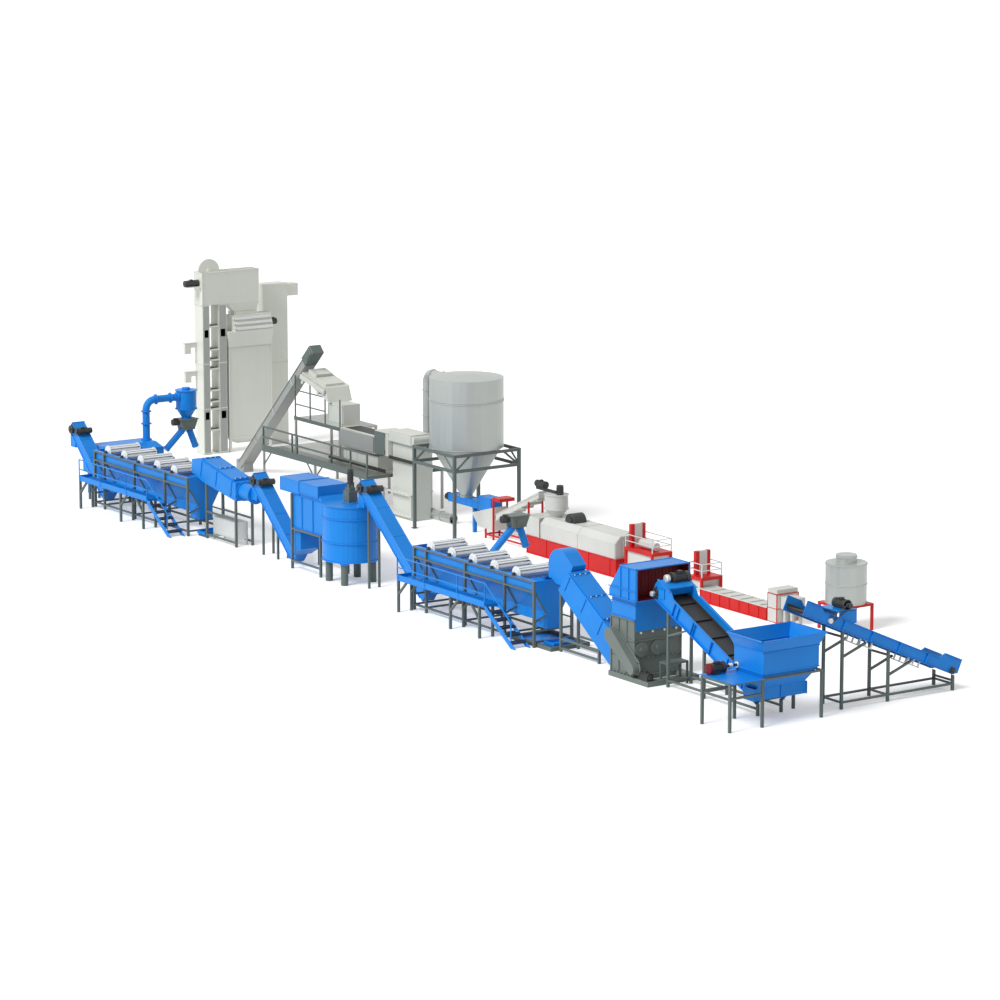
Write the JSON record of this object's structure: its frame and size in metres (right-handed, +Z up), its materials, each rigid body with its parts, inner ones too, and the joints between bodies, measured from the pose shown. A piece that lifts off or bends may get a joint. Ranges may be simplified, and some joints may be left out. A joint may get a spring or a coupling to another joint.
{
  "type": "plastic washing line, 1:2 scale model",
  "caption": "Plant that shreds, washes, float-sorts, dries and pelletizes waste plastic: conveyors, crusher, paddle-drum tanks, screws, silos and extruder.",
  "frame": {"origin": "on the floor, at the middle of the crusher's base frame", "axes": "+X along the row of machines towards the feed conveyor, +Y across it to the storage row, +Z up"},
  "size_m": [31.384, 9.733, 4.961],
  "materials": {
    "blue_paint": "gloss paint",
    "grey_paint": "satin paint",
    "dark_red_paint": "satin paint",
    "red_paint": "gloss paint",
    "white_paint": "gloss paint",
    "pale_steel": "satin",
    "stainless": "brushed",
    "black_rubber": "matt",
    "dark_iron": "satin"
  },
  "bodies": {
    "root": {"bagging_chutes": "blue_paint", "compactor": "white_paint", "conveyor_belts": "black_rubber", "conveyor_frames": "grey_paint", "conveyor_walls": "blue_paint", "cooling_trough": "red_paint", "crusher_base": "grey_paint", "crusher_belt_guard": "grey_paint", "crusher_body": "grey_paint", "crusher_hood": "blue_paint", "crusher_mouth_curtain": "dark_red_paint", "cyclone": "blue_paint", "dewatering_press": "blue_paint", "drive_motors": "dark_iron", "drum_bearings": "dark_iron", "elevator_tower": "pale_steel", "extruder_hood": "white_paint", "feed_hopper": "blue_paint", "float_tank_cleanouts": "blue_paint", "float_tank_ends": "blue_paint", "float_tank_frames": "grey_paint", "float_tank_walls": "blue_paint", "frame_cross_ties": "grey_paint", "friction_washer_covers": "blue_paint", "friction_washer_frames": "grey_paint", "friction_washer_housings": "blue_paint", "hopper_frame": "grey_paint", "hopper_screw_trough": "blue_paint", "hot_washer_ends": "blue_paint", "hot_washer_frames": "grey_paint", "hot_washer_shell": "blue_paint", "incline_conveyor": "grey_paint", "pellet_line_base": "red_paint", "rinse_water_tank": "stainless", "screw_conveyor_legs": "grey_paint", "screw_conveyor_troughs": "blue_paint", "settling_box": "blue_paint", "silo_duct": "stainless", "silo_ends": "stainless", "silo_frame": "grey_paint", "silo_outlet_screw": "blue_paint", "silo_shells": "stainless", "sorting_machines": "white_paint", "sorting_platform": "grey_paint", "sorting_platform_rails": "grey_paint", "storage_bin": "pale_steel", "walkway_decks": "blue_paint", "walkway_legs": "grey_paint", "walkway_rails": "blue_paint", "walkway_stairs": "blue_paint"},
    "paddle_drum_1_1": {"paddle_drum_1_1": "stainless"},
    "paddle_drum_1_2": {"paddle_drum_1_2": "stainless"},
    "paddle_drum_1_3": {"paddle_drum_1_3": "stainless"},
    "paddle_drum_1_4": {"paddle_drum_1_4": "stainless"},
    "paddle_drum_1_5": {"paddle_drum_1_5": "stainless"},
    "paddle_drum_2_1": {"paddle_drum_2_1": "stainless"},
    "paddle_drum_2_2": {"paddle_drum_2_2": "stainless"},
    "paddle_drum_2_3": {"paddle_drum_2_3": "stainless"},
    "paddle_drum_2_4": {"paddle_drum_2_4": "stainless"},
    "paddle_drum_2_5": {"paddle_drum_2_5": "stainless"}
  },
  "joints": [
    {"name": "paddle_drum_1_1_spin", "type": "hinge", "parent": "root", "child": "paddle_drum_1_1", "pos_m": [-7.24, 0, 1.382], "axis": [0, 1, 0], "continuous": true},
    {"name": "paddle_drum_1_2_spin", "type": "hinge", "parent": "root", "child": "paddle_drum_1_2", "pos_m": [-6.46, 0, 1.382], "axis": [0, 1, 0], "continuous": true},
    {"name": "paddle_drum_1_3_spin", "type": "hinge", "parent": "root", "child": "paddle_drum_1_3", "pos_m": [-5.68, 0, 1.382], "axis": [0, 1, 0], "continuous": true},
    {"name": "paddle_drum_1_4_spin", "type": "hinge", "parent": "root", "child": "paddle_drum_1_4", "pos_m": [-4.9, 0, 1.382], "axis": [0, 1, 0], "continuous": true},
    {"name": "paddle_drum_1_5_spin", "type": "hinge", "parent": "root", "child": "paddle_drum_1_5", "pos_m": [-4.12, 0, 1.382], "axis": [0, 1, 0], "continuous": true},
    {"name": "paddle_drum_2_1_spin", "type": "hinge", "parent": "root", "child": "paddle_drum_2_1", "pos_m": [-21.06, 0, 1.382], "axis": [0, 1, 0], "continuous": true},
    {"name": "paddle_drum_2_2_spin", "type": "hinge", "parent": "root", "child": "paddle_drum_2_2", "pos_m": [-20.28, 0, 1.382], "axis": [0, 1, 0], "continuous": true},
    {"name": "paddle_drum_2_3_spin", "type": "hinge", "parent": "root", "child": "paddle_drum_2_3", "pos_m": [-19.5, 0, 1.382], "axis": [0, 1, 0], "continuous": true},
    {"name": "paddle_drum_2_4_spin", "type": "hinge", "parent": "root", "child": "paddle_drum_2_4", "pos_m": [-18.72, 0, 1.382], "axis": [0, 1, 0], "continuous": true},
    {"name": "paddle_drum_2_5_spin", "type": "hinge", "parent": "root", "child": "paddle_drum_2_5", "pos_m": [-17.94, 0, 1.382], "axis": [0, 1, 0], "continuous": true}
  ],
  "couplings": [
    {"joint": "paddle_drum_1_2_spin", "follows": "paddle_drum_1_1_spin", "ratio": 1},
    {"joint": "paddle_drum_1_3_spin", "follows": "paddle_drum_1_1_spin", "ratio": 1},
    {"joint": "paddle_drum_1_4_spin", "follows": "paddle_drum_1_1_spin", "ratio": 1},
    {"joint": "paddle_drum_1_5_spin", "follows": "paddle_drum_1_1_spin", "ratio": 1},
    {"joint": "paddle_drum_2_2_spin", "follows": "paddle_drum_2_1_spin", "ratio": 1},
    {"joint": "paddle_drum_2_3_spin", "follows": "paddle_drum_2_1_spin", "ratio": 1},
    {"joint": "paddle_drum_2_4_spin", "follows": "paddle_drum_2_1_spin", "ratio": 1},
    {"joint": "paddle_drum_2_5_spin", "follows": "paddle_drum_2_1_spin", "ratio": 1}
  ]
}
